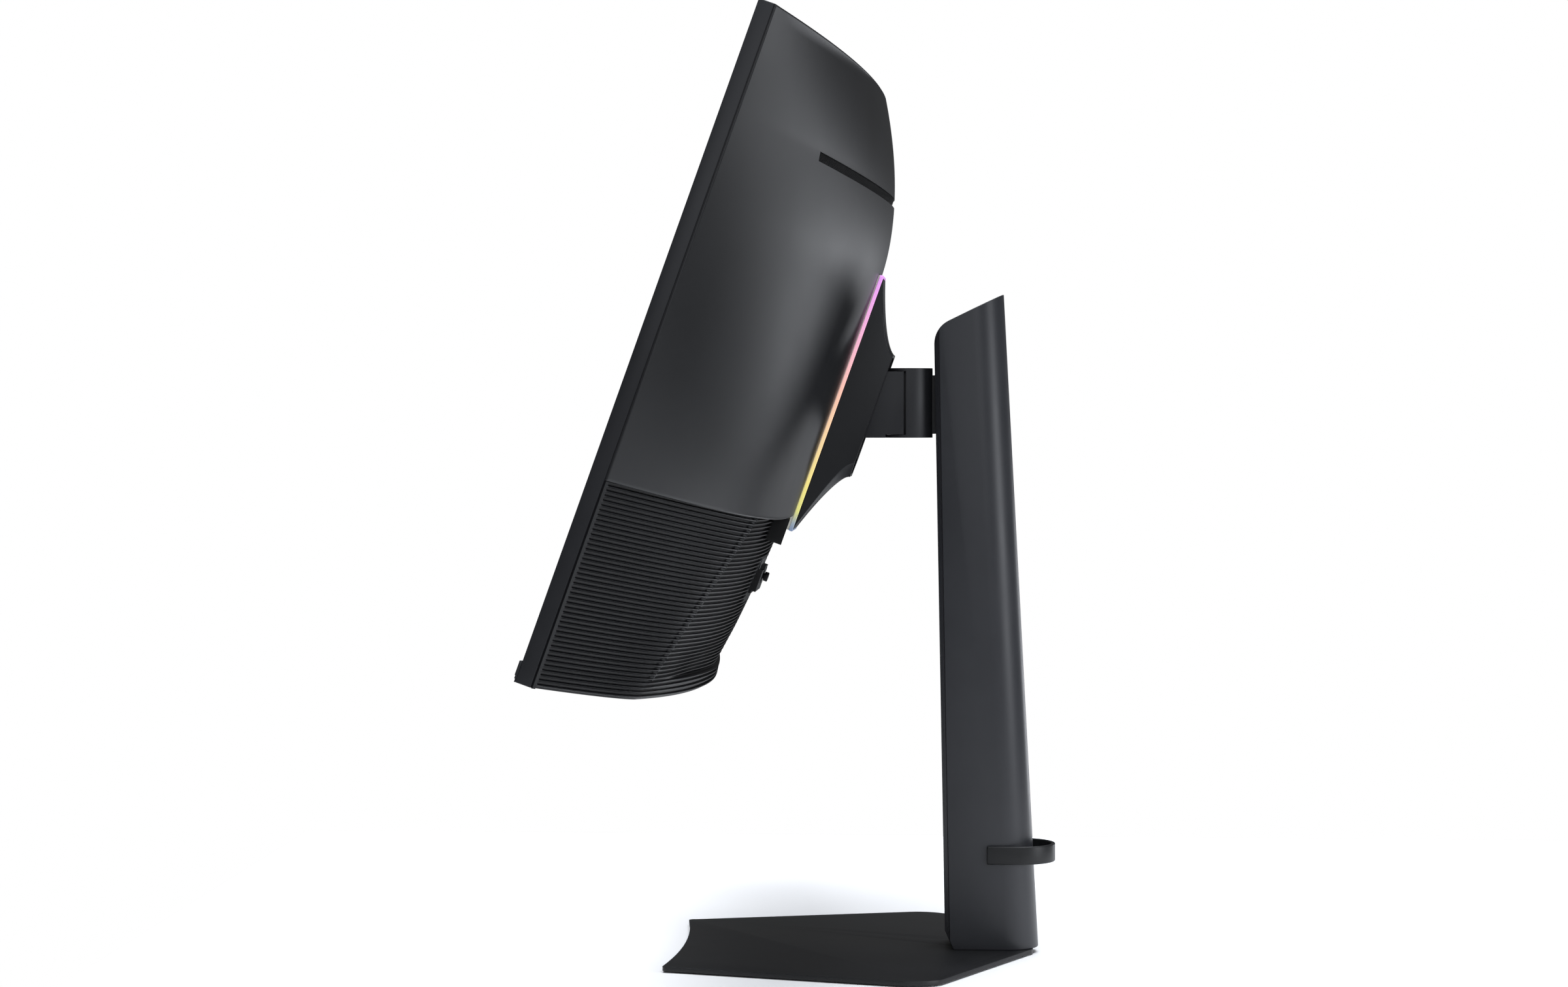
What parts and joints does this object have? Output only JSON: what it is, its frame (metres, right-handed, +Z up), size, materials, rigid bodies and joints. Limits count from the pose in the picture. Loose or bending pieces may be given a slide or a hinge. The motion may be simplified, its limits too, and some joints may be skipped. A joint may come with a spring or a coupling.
{
  "type": "curved monitor with stand",
  "caption": "Large curved monitor with a light ring round its neck, on a stand with height, swivel and tilt adjustment.",
  "frame": {"origin": "on the desk surface, under the column, on the rear foot pad", "axes": "+X to the right seen from the front, +Y to the back, +Z up"},
  "size_m": [0.728, 0.3217, 0.6089],
  "materials": {
    "base_metal": "fine matte powder coat with a bright rounded edge",
    "column_metal": "matte charcoal paint",
    "rubber": "matte",
    "zinc_steel": "zinc plated",
    "cast_foot": "die cast",
    "spring_steel": "bright",
    "arm_plastic": "near-black, fine texture",
    "clip_plastic": "satin",
    "glide_plastic": "natural acetal",
    "brass_washer": "plain",
    "cover_plastic": "charcoal, fine spark texture",
    "ribbed_plastic": "near-black, fine texture",
    "bezel_plastic": "satin black",
    "glass_panel": "anti-glare coated",
    "optical_film": "diffusing",
    "light_guide": "clear acrylic",
    "led_strip": "white board with LEDs",
    "ring_diffuser": "translucent, lit in a changing hue",
    "board": "green circuit board",
    "heat_metal": "extruded",
    "port_plastic": "black",
    "socket_metal": "nickel"
  },
  "bodies": {
    "stand": {"base_plate": "base_metal", "foot_pads": "rubber", "base_screws": "zinc_steel", "base_thumbscrew": "zinc_steel", "column_foot": "cast_foot", "column_shell": "column_metal", "column_front": "column_metal", "lift_rail": "zinc_steel", "rail_screws": "zinc_steel", "cable_clip": "clip_plastic", "spring_axle": "zinc_steel"},
    "drum": {"spring_drum": "spring_steel"},
    "carriage": {"spring_strip": "spring_steel", "carriage_block": "base_metal", "glide_pads": "glide_plastic", "swivel_yoke": "arm_plastic", "yoke_screws": "zinc_steel", "swivel_pin": "zinc_steel"},
    "arm": {"arm_housing": "arm_plastic", "swivel_bushes": "glide_plastic", "tilt_bushes": "glide_plastic"},
    "head": {"tilt_shaft": "zinc_steel", "friction_washers": "brass_washer", "shaft_nuts": "zinc_steel", "tilt_bracket": "zinc_steel", "bracket_screws": "zinc_steel", "chassis_plate": "heat_metal", "ring_carrier": "bezel_plastic", "carrier_screws": "zinc_steel", "lcd_panel": "glass_panel", "optical_sheets": "optical_film", "light_guide": "light_guide", "led_bar": "led_strip", "backlight_pan": "heat_metal", "bezel_frame": "bezel_plastic", "front_chin": "bezel_plastic", "rear_cover": "cover_plastic", "lower_cover": "ribbed_plastic", "bottom_trim": "ribbed_plastic", "vent_grille": "port_plastic", "neck_collar": "cover_plastic", "light_ring": "ring_diffuser", "ring_led_strip": "led_strip", "main_board": "board", "heat_sink": "heat_metal", "power_board": "board", "timing_board": "board", "port_block": "port_plastic", "hdmi_sockets": "socket_metal", "displayport_socket": "socket_metal", "audio_socket": "port_plastic", "power_socket": "port_plastic", "joystick_housing": "port_plastic", "joystick_board": "board"},
    "joystick_cradle": {"joystick_cradle": "glide_plastic"},
    "joystick_stem": {"joystick_stem": "glide_plastic"},
    "joystick_knob": {"joystick_knob": "port_plastic"}
  },
  "joints": [
    {"name": "lift", "type": "slide", "parent": "stand", "child": "carriage", "axis": [0, -0.0192, 0.9998], "range_m": [-0.11, 0]},
    {"name": "drum_spin", "type": "hinge", "parent": "stand", "child": "drum", "pos_m": [0, -0.00631, 0.39653], "axis": [1, 0, 0], "range_deg": [0, 602]},
    {"name": "swivel", "type": "hinge", "parent": "carriage", "child": "arm", "pos_m": [0, -0.0575, 0.3768], "axis": [0, 0, 1], "range_deg": [-20, 20]},
    {"name": "tilt", "type": "hinge", "parent": "arm", "child": "head", "pos_m": [0, -0.1048, 0.3768], "axis": [1, 0, 0], "range_deg": [0, 24.8]},
    {"name": "joystick_up_down", "type": "hinge", "parent": "head", "child": "joystick_cradle", "pos_m": [0, -0.16268, 0.26032], "axis": [1, 0, 0], "range_deg": [-6, 6], "stiffness_Nm_per_rad": 0.05},
    {"name": "joystick_left_right", "type": "hinge", "parent": "joystick_cradle", "child": "joystick_stem", "pos_m": [0, -0.16268, 0.26032], "axis": [0, 0.3387, 0.9409], "range_deg": [-6, 6], "stiffness_Nm_per_rad": 0.05},
    {"name": "joystick_press", "type": "slide", "parent": "joystick_stem", "child": "joystick_knob", "axis": [0, -0.9409, 0.3387], "range_m": [0, 0.0006], "stiffness_N_per_m": 600, "springref_m": -0.0006}
  ],
  "couplings": [
    {"joint": "drum_spin", "follows": "lift", "rad_per_m": -95.238}
  ]
}
